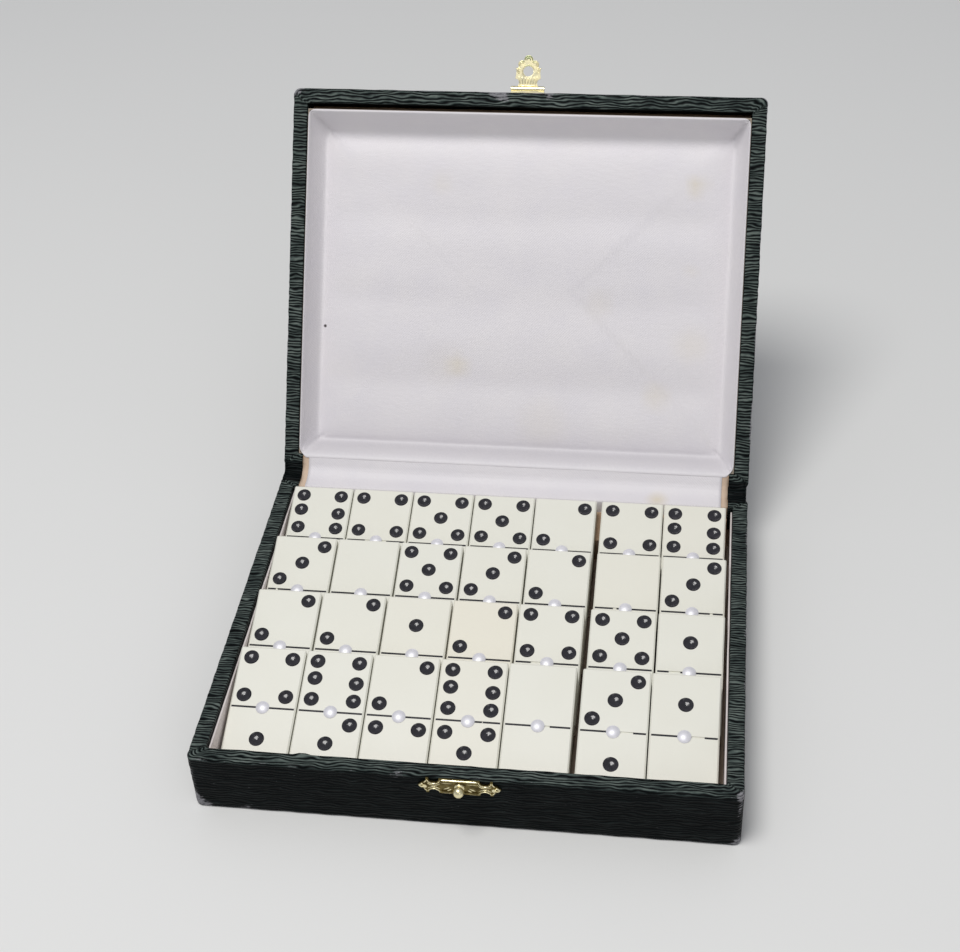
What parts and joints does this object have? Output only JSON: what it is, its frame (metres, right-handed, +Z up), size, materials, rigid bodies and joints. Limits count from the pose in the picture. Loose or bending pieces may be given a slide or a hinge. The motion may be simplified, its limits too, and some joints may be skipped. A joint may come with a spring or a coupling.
{
  "type": "domino storage box",
  "caption": "Shallow covered wooden case with a padded satin lid on a cloth hinge, a brass hasp and knob catch, and dominoes lying in shingled rows inside.",
  "frame": {"origin": "centre of the flat underside, where the box stands", "axes": "+Z up, -Y towards the catch at the front, +X to the right seen from the front; modelled with the lid fully open"},
  "size_m": [0.18, 0.2514, 0.157],
  "materials": {
    "leatherette": "dark green crinkled grain, semi-gloss on the ridges",
    "box_wood": "bare sawn",
    "satin": "pale lavender-white satin, aged",
    "liner_cloth": "off-white cloth on card",
    "lining_paper": "brown lining paper",
    "underside_paper": "black-brown backing paper",
    "tray_card": "grey-brown card",
    "wadding": "soft cotton wadding",
    "brass": "stamped, lightly tarnished",
    "pin_metal": "polished, pale",
    "tile_plastic": "cream, satin polish",
    "pip_enamel": "glossy black enamel"
  },
  "bodies": {
    "base": {"base_bottom_board": "box_wood", "base_front_wall": "box_wood", "base_rear_wall": "box_wood", "base_left_wall": "box_wood", "base_right_wall": "box_wood", "base_cover": "leatherette", "base_underside_paper": "underside_paper", "base_liner": "liner_cloth", "base_floor_lining": "lining_paper", "tile_rest": "box_wood", "hinge_strip": "satin", "cover_spine": "leatherette", "catch_plate": "brass", "catch_knob": "brass", "catch_plate_nails": "brass"},
    "lid": {"lid_top_board": "box_wood", "lid_front_wall": "box_wood", "lid_rear_wall": "box_wood", "lid_left_wall": "box_wood", "lid_right_wall": "box_wood", "lid_cover": "leatherette", "lid_tray": "tray_card", "lid_wadding": "wadding", "lid_satin": "satin", "hasp_plate": "brass", "hasp_plate_nails": "brass", "hasp_hinge_pin": "pin_metal"},
    "hasp": {"hasp": "brass"},
    "tile_r1_c1": {"tile_r1_c1": "tile_plastic"},
    "tile_r1_c2": {"tile_r1_c2": "tile_plastic"},
    "tile_r1_c3": {"tile_r1_c3": "tile_plastic"},
    "tile_r1_c4": {"tile_r1_c4": "tile_plastic"},
    "tile_r1_c5": {"tile_r1_c5": "tile_plastic"},
    "tile_r1_c6": {"tile_r1_c6": "tile_plastic"},
    "tile_r1_c7": {"tile_r1_c7": "tile_plastic"},
    "tile_r2_c1": {"tile_r2_c1": "tile_plastic"},
    "tile_r2_c2": {"tile_r2_c2": "tile_plastic"},
    "tile_r2_c3": {"tile_r2_c3": "tile_plastic"},
    "tile_r2_c4": {"tile_r2_c4": "tile_plastic"},
    "tile_r2_c5": {"tile_r2_c5": "tile_plastic"},
    "tile_r2_c6": {"tile_r2_c6": "tile_plastic"},
    "tile_r2_c7": {"tile_r2_c7": "tile_plastic"},
    "tile_r3_c1": {"tile_r3_c1": "tile_plastic"},
    "tile_r3_c2": {"tile_r3_c2": "tile_plastic"},
    "tile_r3_c3": {"tile_r3_c3": "tile_plastic"},
    "tile_r3_c4": {"tile_r3_c4": "tile_plastic"},
    "tile_r3_c5": {"tile_r3_c5": "tile_plastic"},
    "tile_r3_c6": {"tile_r3_c6": "tile_plastic"},
    "tile_r3_c7": {"tile_r3_c7": "tile_plastic"},
    "tile_r4_c1": {"tile_r4_c1": "tile_plastic"},
    "tile_r4_c2": {"tile_r4_c2": "tile_plastic"},
    "tile_r4_c3": {"tile_r4_c3": "tile_plastic"},
    "tile_r4_c4": {"tile_r4_c4": "tile_plastic"},
    "tile_r4_c5": {"tile_r4_c5": "tile_plastic"},
    "tile_r4_c6": {"tile_r4_c6": "tile_plastic"},
    "tile_r4_c7": {"tile_r4_c7": "tile_plastic"}
  },
  "joints": [
    {"name": "lid_hinge", "type": "hinge", "parent": "base", "child": "lid", "pos_m": [0, 0.07503, 0.0237], "axis": [-1, 0, 0], "range_deg": [-124, 0], "deforming": ["hinge_strip", "cover_spine"]},
    {"name": "hasp_hinge", "type": "hinge", "parent": "lid", "child": "hasp", "pos_m": [0, 0.16079, 0.14638], "axis": [-1, 0, 0], "range_deg": [-90, 80]},
    {"name": "lift_r1_c1", "type": "slide", "parent": "base", "child": "tile_r1_c1", "axis": [0, 0, 1], "range_m": [0, 0.035]},
    {"name": "lift_r2_c1", "type": "slide", "parent": "tile_r1_c1", "child": "tile_r2_c1", "axis": [0, 0, 1], "range_m": [0, 0.035]},
    {"name": "lift_r3_c1", "type": "slide", "parent": "tile_r2_c1", "child": "tile_r3_c1", "axis": [0, 0, 1], "range_m": [0, 0.035]},
    {"name": "lift_r4_c1", "type": "slide", "parent": "tile_r3_c1", "child": "tile_r4_c1", "axis": [0, 0, 1], "range_m": [0, 0.035]},
    {"name": "lift_r1_c2", "type": "slide", "parent": "base", "child": "tile_r1_c2", "axis": [0, 0, 1], "range_m": [0, 0.035]},
    {"name": "lift_r2_c2", "type": "slide", "parent": "tile_r1_c2", "child": "tile_r2_c2", "axis": [0, 0, 1], "range_m": [0, 0.035]},
    {"name": "lift_r3_c2", "type": "slide", "parent": "tile_r2_c2", "child": "tile_r3_c2", "axis": [0, 0, 1], "range_m": [0, 0.035]},
    {"name": "lift_r4_c2", "type": "slide", "parent": "tile_r3_c2", "child": "tile_r4_c2", "axis": [0, 0, 1], "range_m": [0, 0.035]},
    {"name": "lift_r1_c3", "type": "slide", "parent": "base", "child": "tile_r1_c3", "axis": [0, 0, 1], "range_m": [0, 0.035]},
    {"name": "lift_r2_c3", "type": "slide", "parent": "tile_r1_c3", "child": "tile_r2_c3", "axis": [0, 0, 1], "range_m": [0, 0.035]},
    {"name": "lift_r3_c3", "type": "slide", "parent": "tile_r2_c3", "child": "tile_r3_c3", "axis": [0, 0, 1], "range_m": [0, 0.035]},
    {"name": "lift_r4_c3", "type": "slide", "parent": "tile_r3_c3", "child": "tile_r4_c3", "axis": [0, 0, 1], "range_m": [0, 0.035]},
    {"name": "lift_r1_c4", "type": "slide", "parent": "base", "child": "tile_r1_c4", "axis": [0, 0, 1], "range_m": [0, 0.035]},
    {"name": "lift_r2_c4", "type": "slide", "parent": "tile_r1_c4", "child": "tile_r2_c4", "axis": [0, 0, 1], "range_m": [0, 0.035]},
    {"name": "lift_r3_c4", "type": "slide", "parent": "tile_r2_c4", "child": "tile_r3_c4", "axis": [0, 0, 1], "range_m": [0, 0.035]},
    {"name": "lift_r4_c4", "type": "slide", "parent": "tile_r3_c4", "child": "tile_r4_c4", "axis": [0, 0, 1], "range_m": [0, 0.035]},
    {"name": "lift_r1_c5", "type": "slide", "parent": "base", "child": "tile_r1_c5", "axis": [0, 0, 1], "range_m": [0, 0.035]},
    {"name": "lift_r2_c5", "type": "slide", "parent": "tile_r1_c5", "child": "tile_r2_c5", "axis": [0, 0, 1], "range_m": [0, 0.035]},
    {"name": "lift_r3_c5", "type": "slide", "parent": "tile_r2_c5", "child": "tile_r3_c5", "axis": [0, 0, 1], "range_m": [0, 0.035]},
    {"name": "lift_r4_c5", "type": "slide", "parent": "tile_r3_c5", "child": "tile_r4_c5", "axis": [0, 0, 1], "range_m": [0, 0.035]},
    {"name": "lift_r1_c6", "type": "slide", "parent": "base", "child": "tile_r1_c6", "axis": [0, 0, 1], "range_m": [0, 0.035]},
    {"name": "lift_r2_c6", "type": "slide", "parent": "tile_r1_c6", "child": "tile_r2_c6", "axis": [0, 0, 1], "range_m": [0, 0.035]},
    {"name": "lift_r3_c6", "type": "slide", "parent": "tile_r2_c6", "child": "tile_r3_c6", "axis": [0, 0, 1], "range_m": [0, 0.035]},
    {"name": "lift_r4_c6", "type": "slide", "parent": "tile_r3_c6", "child": "tile_r4_c6", "axis": [0, 0, 1], "range_m": [0, 0.035]},
    {"name": "lift_r1_c7", "type": "slide", "parent": "base", "child": "tile_r1_c7", "axis": [0, 0, 1], "range_m": [0, 0.035]},
    {"name": "lift_r2_c7", "type": "slide", "parent": "tile_r1_c7", "child": "tile_r2_c7", "axis": [0, 0, 1], "range_m": [0, 0.035]},
    {"name": "lift_r3_c7", "type": "slide", "parent": "tile_r2_c7", "child": "tile_r3_c7", "axis": [0, 0, 1], "range_m": [0, 0.035]},
    {"name": "lift_r4_c7", "type": "slide", "parent": "tile_r3_c7", "child": "tile_r4_c7", "axis": [0, 0, 1], "range_m": [0, 0.035]}
  ]
}
